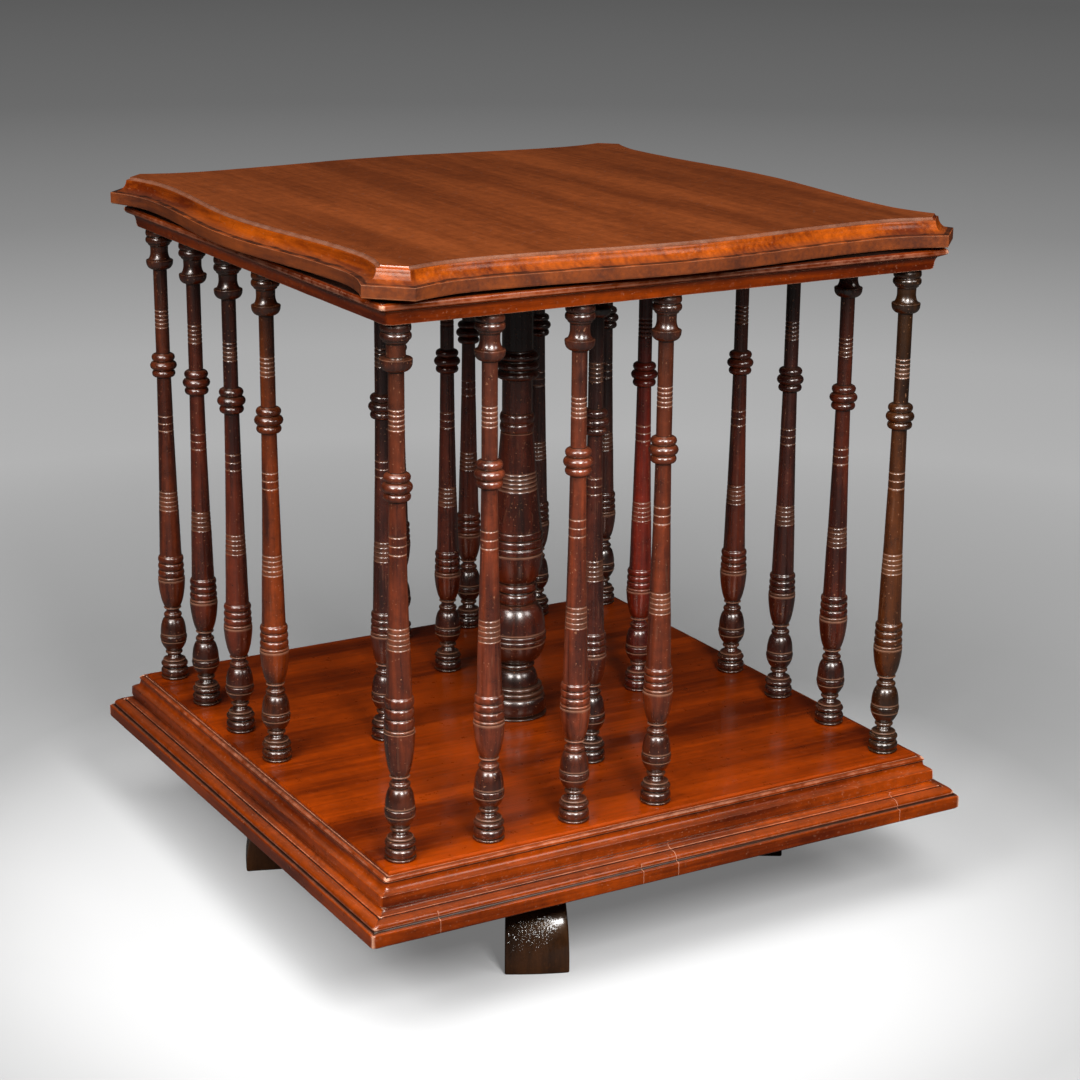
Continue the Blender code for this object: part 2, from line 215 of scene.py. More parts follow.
glow = add_ramp(tree, share, [(at, grey(value)) for at, value in FLOOR_GLOW])
seen = seen_share(tree)
plug(tree, shader, {
    "Base Color": mixed(tree, seen, ROOM_FLOOR, tone), "Roughness": 0.9, "Specular IOR Level": 0.0,
    "Emission Color": glow, "Emission Strength": seen,
})
floor_mesh.materials.append(sweep)
floor = bpy.data.objects.new("floor", floor_mesh)
bpy.context.scene.collection.objects.link(floor)
print("floor disc", round(floor.dimensions.x, 1), "m wide")

# %% [markdown]
# ## The lamps
# Plain studio light: a large soft box overhead and three smaller ones in front. One lamp alone
# would leave the book space black. Those in front light it and leave bright spots on every bulb,
# and the overhead one shows on the upper faces of the beads.

# %% Set the lamps and the surroundings
STAND_MIDDLE = Vector((0.0, 0.0, 0.22))
ROOM_LIGHT = (0.015, 0.015, 0.0155)
SEEN_WALL = grey(0.12)


def soft_box(name, azimuth, elevation, distance, wide, high, watts):
    """A lamp that looks at the middle of the stand; azimuth counts from the front, to the left."""
    turn, rise = math.radians(azimuth), math.radians(elevation)
    outward = Vector((-math.sin(turn), -math.cos(turn), 0.0)) * math.cos(rise)
    outward += Vector((0.0, 0.0, math.sin(rise)))
    lamp = bpy.data.lights.new(name, "AREA")
    lamp.shape = "RECTANGLE"
    lamp.size = wide
    lamp.size_y = high
    lamp.energy = watts
    item = bpy.data.objects.new(name, lamp)
    item.location = STAND_MIDDLE + distance * outward
    item.rotation_euler = (STAND_MIDDLE - item.location).to_track_quat("-Z", "Y").to_euler()
    bpy.context.scene.collection.objects.link(item)


soft_box("overhead_box", azimuth=45.0, elevation=60.0, distance=1.7, wide=2.0, high=1.0, watts=38.0)
soft_box("left_box", azimuth=60.0, elevation=31.0, distance=1.5, wide=0.46, high=0.42, watts=13.5)
soft_box("right_box", azimuth=12.0, elevation=31.0, distance=1.5, wide=0.32, high=0.42, watts=18.0)
soft_box("far_right_box", azimuth=-27.0, elevation=32.0, distance=1.6, wide=0.45, high=0.50, watts=6.0)
world = bpy.data.worlds.new("studio")
bpy.context.scene.world = world
world.use_nodes = True
tree = world.node_tree
plug(tree, tree.nodes["Background"], {"Color": mixed(tree, seen_share(tree), ROOM_LIGHT, SEEN_WALL)})
bpy.context.scene.view_settings.view_transform = "Standard"

# %% [markdown]
# ## The grain of mahogany
# Mahogany shows broad ribbons of light and dark, fine straight grain and short dark pores. A
# picture of veneer would show seams on turned work. Noise that is drawn out along the grain runs
# through a piece as wood does, so three noises, from coarse to fine, make the colour.

# %% Define the grain
ALONG = {"x": (0.0, 0.0, 0.0), "y": (0.0, 0.0, math.pi / 2), "z": (0.0, math.pi / 2, 0.0)}
PORE_SHADE = 0.80


def streaks(tree, source, seed, shift, long, across, detail):
    """Noise drawn out along the grain; long and across say how often it repeats in a metre."""
    stretch = add_node(tree, "ShaderNodeMapping", {
        "Vector": source, "Location": (seed + shift, shift, seed), "Scale": (long, across, across),
    })
    inputs = {"Vector": stretch.outputs[0], "Scale": 1.0, "Detail": detail, "Roughness": 0.55}
    return add_node(tree, "ShaderNodeTexNoise", inputs).outputs["Fac"]


def mahogany(tree, turned, dark, light, figure, seed):
    """The colour of the clean wood, and the height of its open grain."""
    ribbon = streaks(tree, turned, seed, 0.0, 4.0 * figure, 34.0 * figure, 3.0)
    grain = streaks(tree, turned, seed, 3.1, 14.0, 420.0, 2.0)
    pore = streaks(tree, turned, seed, 7.7, 95.0, 1900.0, 1.0)
    figured = calculate(tree, "MULTIPLY_ADD", grain, 0.35, ribbon)
    between = tuple((first + second) / 2 for first, second in zip(dark, light))
    colour = add_ramp(tree, figured, [(0.52, dark), (0.68, between), (0.84, light)])
    shade = add_ramp(tree, pore, [(0.30, grey(PORE_SHADE)), (0.42, grey(1.0))])
    height = calculate(tree, "MULTIPLY_ADD", pore, 0.6, grain)
    return mixed(tree, 1.0, colour, shade, "MULTIPLY"), height


print("grain can run along", list(ALONG))

# %% [markdown]
# ## Marks of age
# Old polish is mottled, with pale scuffs and specks. Such marks could be painted one by one, but
# noise scatters them over all pieces at once. A ramp over the height darkens both ends of a
# turning: at the head this is painted shade under the top, and towards the foot the wood is darker.

# %% Define the marks
def spots(tree, place, often, detail, roughness=0.5):
    """Even noise; often says how many times it repeats in a metre."""
    inputs = {"Vector": place, "Scale": often, "Detail": detail, "Roughness": roughness}
    return add_node(tree, "ShaderNodeTexNoise", inputs).outputs["Fac"]


def marked(tree, colour, rubbed, place, turned, patchy, seed, scuffs, tilt, mottled, specks, ends):
    """The colour with its scuffs, mottling and specks; ends is a ramp from board to board, painted shade at
    the head.
    """
    tilted = add_node(tree, "ShaderNodeMapping", {"Vector": turned, "Rotation": (0.1, 0.3 * tilt, tilt)})
    scratch = streaks(tree, tilted.outputs[0], seed, 5.5, 9.0, 620.0, 0.0)
    colour = mixed(tree, spread(tree, scratch, (0.72, 0.80), (0.0, scuffs)), colour, rubbed)
    mottle = add_ramp(tree, patchy, [(0.30, grey(1.0 - mottled)), (0.70, grey(1.0))])
    colour = mixed(tree, 1.0, colour, mottle, "MULTIPLY")
    # Painted shade: the ends ramp darkens the head as if under the top, and also darkens the foot.
    if ends:
        height = add_node(tree, "ShaderNodeSeparateXYZ", {"Vector": place}).outputs["Z"]
        share = spread(tree, height, (shelf_z, soffit_z), (0.0, 1.0))
        colour = mixed(tree, 1.0, colour, add_ramp(tree, share, ends), "MULTIPLY")
    dots = spread(tree, spots(tree, place, 700.0, 1.0), (0.70, 0.75), (0.0, specks))
    return mixed(tree, dots, colour, rubbed)


print("dark ends lie between", round(shelf_z, 3), "and", round(soffit_z, 3), "m")

# %% [markdown]
# ## Rubbed arrises, wax and dust
# Handling rubs the polish from the arrises and leaves dark wax in the hollows, and dust greys the
# faces that look upwards. A finish can't tell an arris from a hollow by itself, so the meshes
# carry two values that it reads: wear, above one half on arrises and below it in hollows, and
# dust.

# %% Define the handling
OLD_WAX = (0.010, 0.005, 0.004)
ON_ARRIS = (0.66, 0.95)
IN_HOLLOW = (0.36, 0.10)
LOOKING_UP = (0.55, 1.50)


def handled(tree, colour, rubbed, patchy, worn, uneven, dusty, film):
    """The colour after years of use, and how dull the polish has become."""
    wear = add_node(tree, "ShaderNodeAttribute", attribute_name="wear").outputs["Fac"]
    dust = add_node(tree, "ShaderNodeAttribute", attribute_name="dust").outputs["Fac"]
    patch = calculate(tree, "MULTIPLY_ADD", patchy, uneven, -uneven / 2)
    use = calculate(tree, "ADD", wear, patch)
    rub = spread(tree, use, ON_ARRIS, (0.0, worn))
    wax = spread(tree, use, IN_HOLLOW, (0.0, 0.94))
    settled = spread(tree, dust, LOOKING_UP, (0.0, dusty))
    colour = mixed(tree, settled, colour, film)
    colour = mixed(tree, rub, colour, rubbed)
    colour = mixed(tree, wax, colour, OLD_WAX)
    return colour, calculate(tree, "MAXIMUM", settled, rub)


print("polish starts to rub off at a wear of", ON_ARRIS[0])

# %% [markdown]
# ## The polish
# Shellac lies over the wood as a clear amber film. A glossy wood alone would mirror the lamps in
# white, so the film is the shader's coat, thinner where the wood is rubbed or dusty.

# %% Define the wood finish
AMBER = (1.0, 0.80, 0.55, 1.0)
WARM = (1.0, 0.70, 0.50, 1.0)


def polished_wood(
    name, along, dark, light, rubbed, figure=1.0, seed=0.0,
    scuffs=0.1, tilt=0.7, mottled=0.25, specks=0.0, ends=None,
    worn=0.5, uneven=0.3, dusty=0.0, film=(0.20, 0.14, 0.11),
    gloss=0.30, coat=0.8, polish=0.12, shine=1.5,
):
    """A finish for wood whose grain runs along one axis.

    Dark, light and rubbed are tones, and figure is how fine the ribbons are. Scuffs, mottled,
    specks, worn and dusty are strengths of marks, tilt turns the scuffs from the grain, uneven
    breaks up the wear, film is the colour of dust, ends darkens the two ends of a turning (at the
    head as painted shade) and seed moves the grain. Gloss is how rough the wood is. Coat, polish
    and shine are how much clear polish lies on it, how rough that is and its index.
    """
    made, tree, shader = new_finish(name)
    place = add_node(tree, "ShaderNodeTexCoord").outputs["Object"]
    turned = add_node(tree, "ShaderNodeMapping", {"Vector": place, "Rotation": ALONG[along]}).outputs[0]
    patchy = spots(tree, place, 130.0, 4.0, 0.7)
    colour, height = mahogany(tree, turned, dark, light, figure, seed)
    marks = (scuffs, tilt, mottled, specks, ends)
    colour = marked(tree, colour, rubbed, place, turned, patchy, seed, *marks)
    rough = spread(tree, patchy, (0.3, 0.7), (gloss - 0.04, gloss + 0.08))
    clear = coat
    if worn:
        colour, dull = handled(tree, colour, rubbed, patchy, worn, uneven, dusty, film)
        rough = calculate(tree, "MULTIPLY_ADD", dull, 0.3, rough)
        clear = calculate(tree, "MULTIPLY_ADD", dull, -coat, coat)
    open_grain = add_node(tree, "ShaderNodeBump", {"Strength": 0.10, "Distance": 0.0004, "Height": height})
    plug(tree, shader, {
        "Base Color": colour, "Roughness": rough, "Normal": open_grain.outputs[0],
        "Specular IOR Level": 0.20, "Specular Tint": WARM,
        "Coat Weight": clear, "Coat Roughness": polish, "Coat IOR": shine, "Coat Tint": AMBER,
    })
    return made


print("tint of the polish:", AMBER[:3])

# %% [markdown]
# ## Drawing a profile cut by cut
# Turners and moulding planes work with a few cuts: a straight line, a bead, a quarter-round
# swelling or hollow, a row of scored lines. A long list of points could hold a profile too, but
# nobody could read it, so it is drawn upwards with the same cuts, in millimetres.

# %% Define the profile cuts
class Profile:
    """A line of (out, high) that grows upwards, cut by cut."""

    def __init__(self, out, high):
        self.points = [(out, high)]
        self.scored = []

    def line(self, out, high):
        self.points.append((out, high))
        return self

    def bead(self, crest, high, back=None, steps=8):
        """Half-round that swells to crest and comes back, to the first width if none is given."""
        from_out, from_high = self.points[-1]
        back = from_out if back is None else back
        for step in range(1, steps + 1):
            angle = math.pi * step / steps
            foot = from_out + (back - from_out) * step / steps
            rise = (1.0 - math.cos(angle)) / 2
            out = foot + (crest - foot) * math.sin(angle)
            self.points.append((out, from_high + (high - from_high) * rise))
        return self

    def quarter(self, out, high, level_first, full, steps):
        """Quarter-round; full is 1 for a round one and 0 for its chord."""
        from_out, from_high = self.points[-1]
        for step in range(1, steps + 1):
            angle = math.pi / 2 * step / steps
            across, rise = 1.0 - math.cos(angle), math.sin(angle)
            if level_first:
                across, rise = rise, across
            chord = (across + rise) / 2
            across = chord + (across - chord) * full
            rise = chord + (rise - chord) * full
            self.points.append((from_out + (out - from_out) * across, from_high + (high - from_high) * rise))
        return self

    def swell(self, out, high, full=1.0, steps=8):
        """Quarter-round that bulges outwards."""
        return self.quarter(out, high, out > self.points[-1][0], full, steps)

    def cove(self, out, high, full=1.0, steps=8):
        """Quarter-round hollow."""
        return self.quarter(out, high, out < self.points[-1][0], full, steps)

    def scores(self, out, high, count, deep=0.3, wide=1.0):
        """A straight stretch with lines scored round it; their heights are kept."""
        from_out, from_high = self.points[-1]
        for step in range(count):
            share = (step + 0.5) / count
            face = from_out + (out - from_out) * share
            at = from_high + (high - from_high) * share
            self.points += [(face, at - wide / 2), (face - deep, at), (face, at + wide / 2)]
            self.scored.append(at)
        return self.line(out, high)


print("a bead is cut in", len(Profile(5.0, 0.0).bead(7.0, 3.0).points) - 1, "steps")

# %% [markdown]
# ## Keeping wear near the arris
# A value on a mesh fades from one point to the next, so the wear of an arris would spread over a
# plain face. The whole mesh could be made finer, but one more point near each end of a long cut
# stops it at less cost.

# %% Add points beside the arrises
BESIDE_ARRIS = 0.6


def held(points):
    """The points, with one more close to both ends of every long straight cut."""
    kept = [points[0]]
    for (out, high), (to_out, to_high) in zip(points, points[1:]):
        length = math.hypot(to_out - out, to_high - high)
        if length > 4 * BESIDE_ARRIS:
            for share in (BESIDE_ARRIS / length, 1.0 - BESIDE_ARRIS / length):
                kept.append((out + share * (to_out - out), high + share * (to_high - high)))
        kept.append((to_out, to_high))
    return kept


print("a plain face of 10 mm has", len(held([(0.0, 0.0), (0.0, 10.0)])), "points")

# %% [markdown]
# ## Reading wear from the mesh
# Wear could be painted on, but the mesh knows where it belongs: where the neighbours of a point
# lie behind its surface it is an arris, and where they lie in front, a hollow. Faces that look
# upwards gather dust, most of all in hollows. Small dents then break the machine-straight lines.

# %% Define wear and dents
NEARLY_FLAT = 0.10
HOLLOW = 0.3
DUST_IN_HOLLOW = 1.6


def measure_wear(work, strength=1.6):
    """Store how far a point is an arris (towards 1) or a hollow (0), and how far a face looks up."""
    work.normal_update()
    wear = work.verts.layers.float.new("wear")
    for vert in work.verts:
        bend = 0.0
        for edge in vert.link_edges:
            away = edge.other_vert(vert).co - vert.co
            bend = max(bend, vert.normal.dot(away.normalized()), key=abs)
        bend = math.copysign(max(0.0, abs(bend) - NEARLY_FLAT), bend)
        vert[wear] = min(1.0, max(0.0, 0.5 - strength * bend / 2))
    dust = work.faces.layers.float.new("dust")
    for face in work.faces:
        hollow = any(vert[wear] < HOLLOW for vert in face.verts)
        face[dust] = max(0.0, face.normal.z) * (DUST_IN_HOLLOW if hollow else 1.0)


def rough_up(work, deep, wide):
    """Dents of smooth, fixed noise along the normals; deep and wide are in millimetres."""
    work.normal_update()
    for vert in work.verts:
        vert.co += vert.normal * deep * MM * noise.noise(vert.co / (wide * MM))


print("a hollow gathers", DUST_IN_HOLLOW, "times the dust")

# %% [markdown]
# ## Finishing a mesh
# A few jobs come back for many pieces: easing arrises, ruling a line across faces, closing seams,
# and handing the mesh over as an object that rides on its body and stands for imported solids. One
# helper for each keeps all pieces alike.

# %% Define the finishing jobs
SHARP_FROM = 40.0


def ease(work, edges, wide, segments=2):
    bmesh.ops.bevel(
        work, geom=edges, offset=wide * MM, offset_type="OFFSET", segments=segments, profile=0.5,
        affect="EDGES", material=-1, clamp_overlap=True,
    )


def rule_line(work, place, facing):
    """Draw a line on every face that a plane meets."""
    everything = work.verts[:] + work.edges[:] + work.faces[:]
    bmesh.ops.bisect_plane(work, geom=everything, plane_co=Vector(place) * MM, plane_no=facing)


def clean(work):
    bmesh.ops.remove_doubles(work, verts=work.verts, dist=1e-6)
    bmesh.ops.recalc_face_normals(work, faces=work.faces)


def make_piece(name, work, finishes, body, nodes):
    """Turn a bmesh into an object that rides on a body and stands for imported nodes."""
    mesh = bpy.data.meshes.new(name)
    work.to_mesh(mesh)
    work.free()
    for finish in finishes:
        mesh.materials.append(finish)
    mesh.shade_smooth()
    mesh.set_sharp_from_angle(angle=math.radians(SHARP_FROM))
    piece = bpy.data.objects.new(name, mesh)
    bpy.context.scene.collection.objects.link(piece)
    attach(piece, body)
    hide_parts(*nodes)
    return piece


print("edges are sharp from", SHARP_FROM, "degrees")

# %% [markdown]
# ## The outline of the top
# Each side of the top has a bow in the middle, a hollow on each side of it and a canted corner.
# It could be traced point by point, but half a wave for the bow and a square curve for the ear
# give the line from five sizes. The real top sits a little askew, so the outline is turned by
# less than a degree.

# %% Draw the outline of the top
BOW_OUT = 195.7
HOLLOW_OUT = 185.6
HOLLOW_ALONG = 132.54
EAR_OUT = 195.0
EAR_ALONG = 174.4
EAR_CURVED = 0.7
TOP_ASKEW = math.radians(0.9)


def half_side(bow_steps=22, ear_steps=8):
    """Points (along, out) from the middle of the bow to the canted corner."""
    points = []
    for step in range(bow_steps + 1):
        share = step / bow_steps
        swell = 0.5 + 0.5 * math.cos(math.pi * share)
        points.append((share * HOLLOW_ALONG, HOLLOW_OUT + (BOW_OUT - HOLLOW_OUT) * swell))
    for share in [EAR_CURVED * step / ear_steps for step in range(1, ear_steps + 1)] + [1.0]:
        along = HOLLOW_ALONG + share * (EAR_ALONG - HOLLOW_ALONG)
        points.append((along, HOLLOW_OUT + (EAR_OUT - HOLLOW_OUT) * share ** 2))
    return points


half = half_side()
side = [(-along, out) for along, out in reversed(half[1:])] + half
outline = []
for quarter in range(4):
    turn = Matrix.Rotation(quarter * math.pi / 2 + TOP_ASKEW, 3, "Z")
    outline += [turn @ Vector((along, -out, 0.0)) for along, out in side]
print("outline of the top:", len(outline), "points")

# %% [markdown]
# ## The moulded edge of the top
# The edge has a square lip, a quarter-round and a rounded arris. A profile swept along the
# outline would pinch at the corners. Instead the outline is raised as one face and inset again
# and again, each inset one step of the moulding. Two insets below leave a thin drip under the
# lip.

# %% Mould the edge of the top
TOP_LIP = 5.4
TOP_DRIP = 1.6
DRIP_WIDE = 2.2
DRIP_SLOPE = 0.2
SOLE_EASE = 0.7
LOW_ARRIS = 1.2
HIGH_ARRIS = 0.6
LIP_FACE = TOP_LIP + TOP_DRIP - LOW_ARRIS - HIGH_ARRIS
above_lip = (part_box("top_board")[1].z - top_low) / MM - TOP_LIP
top_edge = Profile(0.0, 0.0).line(0.35, 0.2).line(2.6, 0.35).line(2.9, 0.45)
top_edge.swell(8.6, 7.3, full=0.9, steps=8).line(8.9, 7.6)
top_edge.swell(10.7, above_lip, steps=6).line(11.1, above_lip).line(15.0, above_lip)


def inset(work, faces, inwards, upwards):
    bmesh.ops.inset_region(
        work, faces=faces, thickness=inwards * MM, depth=upwards * MM,
        use_even_offset=True, use_boundary=True,
    )


work = bmesh.new()
sole_high = Vector((0.0, 0.0, top_low - TOP_DRIP * MM))
lid = [work.faces.new([work.verts.new(point * MM + sole_high) for point in outline])]
for rise in (LOW_ARRIS, LIP_FACE, HIGH_ARRIS):
    raised = bmesh.ops.extrude_face_region(work, geom=lid + lid[0].edges[:])["geom"]
    lid = [part for part in raised if isinstance(part, bmesh.types.BMFace)]
    rim = [part for part in raised if isinstance(part, bmesh.types.BMVert)]
    bmesh.ops.translate(work, vec=(0.0, 0.0, rise * MM), verts=rim)
bmesh.ops.recalc_face_normals(work, faces=work.faces)
for (low_in, low_up), (high_in, high_up) in zip(top_edge.points, top_edge.points[1:]):
    inset(work, lid, high_in - low_in, high_up - low_up)
clean(work)
sole = [min(work.faces, key=lambda face: face.calc_center_median().z)]
sole_arris = list(sole[0].edges)
inset(work, sole, DRIP_WIDE, 0.0)
inset(work, sole, DRIP_SLOPE, -TOP_DRIP)
ease(work, sole_arris, SOLE_EASE)
rough_up(work, deep=0.15, wide=12.0)
print("top:", len(work.faces), "faces")

# %% [markdown]
# ## The finish of the top
# The flat is dull from use, the edge redder, and the rounded arris rubbed grey except at the
# canted corners, which are still bright. The mesh alone can't know that, so wear is set by height
# and the faces share three finishes. The real top is out of level, so the mesh is sheared a
# little.

# %% Finish the top
ROUND_LOW = TOP_LIP + 7.4
QUIRK_HIGH = TOP_LIP + 0.4
RUBBED_GREY = 0.77
WAXED = 0.14
EVEN = 0.5
LIP_FILM = 1.1
OUT_OF_LEVEL = Matrix(((1, 0, 0, 0), (0, 1, 0, 0), (-0.0013, 0.0041, 1, 0.00105), (0, 0, 0, 1)))
top_wood = polished_wood(
    "mahogany_top", "y", (0.112, 0.024, 0.005), (0.194, 0.045, 0.010), (0.16, 0.108, 0.085),
    figure=0.8, gloss=0.36, coat=0.12, polish=0.22, worn=0.8, scuffs=0.08,
)
top_edge_wood = polished_wood(
    "mahogany_top_edge", "y", (0.085, 0.011, 0.001), (0.350, 0.064, 0.002), (0.46, 0.22, 0.12),
    figure=1.4, coat=0.15, polish=0.2, worn=0.5, dusty=0.9, film=(0.052, 0.024, 0.016), seed=2.0,
)
top_corner_wood = polished_wood(
    "mahogany_top_corner", "y", (0.090, 0.012, 0.001), (0.400, 0.080, 0.004), (0.46, 0.22, 0.12),
    coat=1.0, worn=0.0,
)
measure_wear(work)
wear = work.verts.layers.float["wear"]
dust = work.faces.layers.float["dust"]
for vert in work.verts:
    high = (vert.co.z - top_low) / MM
    if high > ROUND_LOW and vert.normal.z < 0.98:
        vert[wear] = RUBBED_GREY
    elif abs(high - QUIRK_HIGH) < 0.2:
        vert[wear] = WAXED
    elif 0.9 - TOP_DRIP < high < TOP_LIP - 0.4:
        vert[wear] = EVEN
    elif high > TOP_LIP + 0.3:
        vert[wear] = min(EVEN, vert[wear])
for face in work.faces:
    high = (face.calc_center_median().z - top_low) / MM
    slope = face.normal.xy.length
    canted = slope > 0.2 and abs(abs(face.normal.x) - abs(face.normal.y)) < 0.2 * slope
    if high >= ROUND_LOW:
        face.material_index = 2 if canted else 0
    else:
        face.material_index = 1
    if high < TOP_LIP and slope > 0.9:
        face[dust] = LIP_FILM
bmesh.ops.transform(work, matrix=OUT_OF_LEVEL, verts=work.verts)
top_finishes = (top_wood, top_edge_wood, top_corner_wood)
top = make_piece("top", work, top_finishes, "carousel", ["top_board"])
print("finishes of the top:", [finish.name for finish in top.data.materials])

# %% [markdown]
# ## Lengths of moulding
# A moulding is planed as one long section and sawn into four lengths that meet in mitres. One
# ring would be quicker, but its grain could follow only two sides and no joint would show. So one
# side is extruded from the section and sheared at both ends, with a glue line left open.

# %% Plane a mitred length
SIDES = ("front", "right", "back", "left")
MOULD_EASE = 0.28
MOULD_CUTS = 40


def running(work):
    """The edges that run along the length."""
    return [edge for edge in work.edges if abs(edge.verts[0].co.x - edge.verts[1].co.x) > 100 * MM]


def planed_length(profile, level, inner):
    """The front length of a frame, open at both ends; its heights count from a level."""
    back_off = JOINT_GAP / math.sqrt(2) * MM
    section = [(out * MM, level + high * MM) for out, high in held(profile.points)]
    section += [(inner, section[-1][1]), (inner, section[0][1])]
    work = bmesh.new()
    loop = [work.verts.new((back_off - out, -out, high)) for out, high in section]
    rim = [work.edges.new(pair) for pair in zip(loop, loop[1:] + loop[:1])]
    for part in bmesh.ops.extrude_edge_only(work, edges=rim)["geom"]:
        if isinstance(part, bmesh.types.BMVert):
            part.co.x = -part.co.y - back_off
    bmesh.ops.recalc_face_normals(work, faces=work.faces)
    shown = [edge for edge in running(work) if edge.verts[0].co.y < -inner - 0.5 * MM]
    ease(work, [edge for edge in shown if edge.calc_face_angle_signed(0.0) > 0.5], MOULD_EASE)
    bmesh.ops.subdivide_edges(work, edges=running(work), cuts=MOULD_CUTS, use_grid_fill=True)
    rough_up(work, deep=0.12, wide=9.0)
    return work


print("sides in order:", SIDES)

# %% [markdown]
# ## Breaks and worn mitres
# The front moulding has old breaks that show as pale upright lines, and every mitre is rounded
# and rubbed. A painted line would stay flat, so each break is ruled as three close lines and the
# middle one is pressed in. Lines beside a mitre keep its wear in a strip.

# %% Age a mitred length
BREAK_LINES = (-0.25, 0.0, 0.25)
MITRE_LINES = (-1.2, -3.0)
BREAK_DEEP = 0.3
BREAK_PALE = 1.2
MITRE_STRIP = 3.0
MITRE_ARRIS = 0.55
MITRE_RUB = 0.6
MITRE_ROUND = 0.7


def open_breaks(work, breaks, level, inner):
    """Press the middle line of each break in; breaks are (along, how high it reaches)."""
    wear = work.verts.layers.float["wear"]
    for at, reach in breaks:
        for vert in work.verts:
            shown = vert.co.y < -inner - MM and vert.co.z < level + reach * MM
            if shown and abs(vert.co.x - at * MM) < 1e-5:
                vert.co -= vert.normal * BREAK_DEEP * MM
                vert[wear] = BREAK_PALE


def rub_mitres(work, bare_below, level, inner):
    """Round the ends and rub their arrises; up to bare_below they are rubbed all over."""
    wear = work.verts.layers.float["wear"]
    for vert in work.verts:
        near = max(0.0, 1.0 - (-vert.co.y - abs(vert.co.x)) / (MITRE_STRIP * MM))
        if vert[wear] > MITRE_ARRIS or vert.co.z < level + bare_below * MM:
            vert[wear] += MITRE_RUB * near
        if vert.co.y < -inner - MM:
            vert.co -= vert.normal * MITRE_ROUND * MM * near ** 2


def mitred_length(profile, level, inner, quarter, breaks=(), bare_below=-math.inf):
    """One aged side of a frame, closed and turned to its place."""
    work = planed_length(profile, level, inner)
    for at, _ in breaks:
        for beside in BREAK_LINES:
            rule_line(work, (at + beside, 0.0, 0.0), (1.0, 0.0, 0.0))
    for end in (-1, 1):
        for inwards in MITRE_LINES:
            rule_line(work, (end * inwards, 0.0, 0.0), (1.0, end, 0.0))
    measure_wear(work, strength=4.5)
    open_breaks(work, breaks, level, inner)
    rub_mitres(work, bare_below, level, inner)
    bmesh.ops.holes_fill(work, edges=[edge for edge in work.edges if edge.is_boundary], sides=0)
    bmesh.ops.recalc_face_normals(work, faces=work.faces)
    turn = Matrix.Rotation(quarter * math.pi / 2, 3, "Z")
    bmesh.ops.rotate(work, cent=(0, 0, 0), matrix=turn, verts=work.verts)
    return work


print("a break is", BREAK_DEEP, "mm deep")

# %% [markdown]
# ## The base moulding
# From below it has a square lip, a groove, a quarter-round, a small step, an upright face, a
# hollow and a thin bead against the board. Stacked strips would show seams, so it is one profile.
# The front has four breaks, and the corners of the lip are bare wood.

# %% Model the base mouldings
moulding_wood = {
    along: polished_wood(
        f"mahogany_moulding_{along}", along, (0.085, 0.009, 0.0004), (0.340, 0.049, 0.0004),
        (0.56, 0.30, 0.20), figure=1.3, coat=0.35, worn=0.8, dusty=0.6, film=(0.070, 0.040, 0.027),
        uneven=0.3, mottled=0.4, specks=0.25, seed=9.0,
    )
    for along in ("x", "y")
}
base_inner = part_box("base_board")[1].x + JOINT_GAP * MM
LIP_LOW = -33.4
LIP_HIGH = -25.7
BREAKS = [(-161.0, -21.0), (-29.2, -22.0), (-5.2, -17.0), (156.2, -19.0)]
mould = Profile(202.3, LIP_LOW).line(202.9, LIP_LOW + 0.6).line(202.9, LIP_HIGH).line(202.4, -25.1)
mould.line(200.5, -24.9).line(200.1, -24.4).line(200.4, -23.6).swell(195.2, -19.9, steps=8)
mould.line(194.7, -20.3).line(194.1, -20.2).line(193.9, -19.5).cove(190.5, -16.9, steps=5)
mould.line(190.1, -16.6).line(191.1, -16.2).line(190.8, -9.9).line(190.3, -9.5).line(189.6, -9.4)
mould.cove(186.2, -4.4, steps=8).line(186.9, -3.9).line(186.8, -3.4).swell(184.9, -1.6, steps=4)
mould.line(184.4, -2.1).line(183.5, -2.1)
for quarter, side_name in enumerate(SIDES):
    breaks = BREAKS if side_name == "front" else ()
    work = mitred_length(mould, shelf_z, base_inner, quarter, breaks, LIP_HIGH + 0.2)
    piece = make_piece(
        f"base_moulding_{side_name}", work, [moulding_wood["xy"[quarter % 2]]],
        "carousel", [f"base_mould_{side_name}"],
    )
print("base moulding:", len(piece.data.polygons), "faces a side")

# %% [markdown]
# ## The cornice
# The cornice covers the edge of the board under the top with a plain face, a hollow and a bead,
# and a recess above it. It could be part of the board, but then it would have no mitres, so
# it is made as the base moulding is. The recess gets the low wear of a waxed hollow, which
# darkens it as painted shade under the lip of the top.

# %% Model the cornice
low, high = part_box("subtop_board")
cornice_inner = high.x + JOINT_GAP * MM
BEAD_HIGH = 12.8
RECESS_SHADE_WEAR = 0.1
cornice = Profile(178.7, 0.0).line(179.1, 3.0).cove(181.5, 7.6, steps=6).line(181.1, 8.2)
cornice.line(183.2, 8.4).bead(184.8, BEAD_HIGH, back=183.4, steps=6)
cornice.line(180.6, BEAD_HIGH + 0.2).line(180.6, (high.z - low.z) / MM)
for quarter, side_name in enumerate(SIDES):
    work = mitred_length(cornice, soffit_z, cornice_inner, quarter)
    wear = work.verts.layers.float["wear"]
    # Painted shade: the recess under the lip gets a low wear, which darkens it.
    for vert in work.verts:
        if vert.co.z > soffit_z + (BEAD_HIGH - 0.1) * MM:
            vert[wear] = RECESS_SHADE_WEAR
    piece = make_piece(
        f"cornice_moulding_{side_name}", work, [moulding_wood["xy"[quarter % 2]]],
        "carousel", [f"cornice_{side_name}"],
    )
print("cornice:", len(piece.data.polygons), "faces a side")

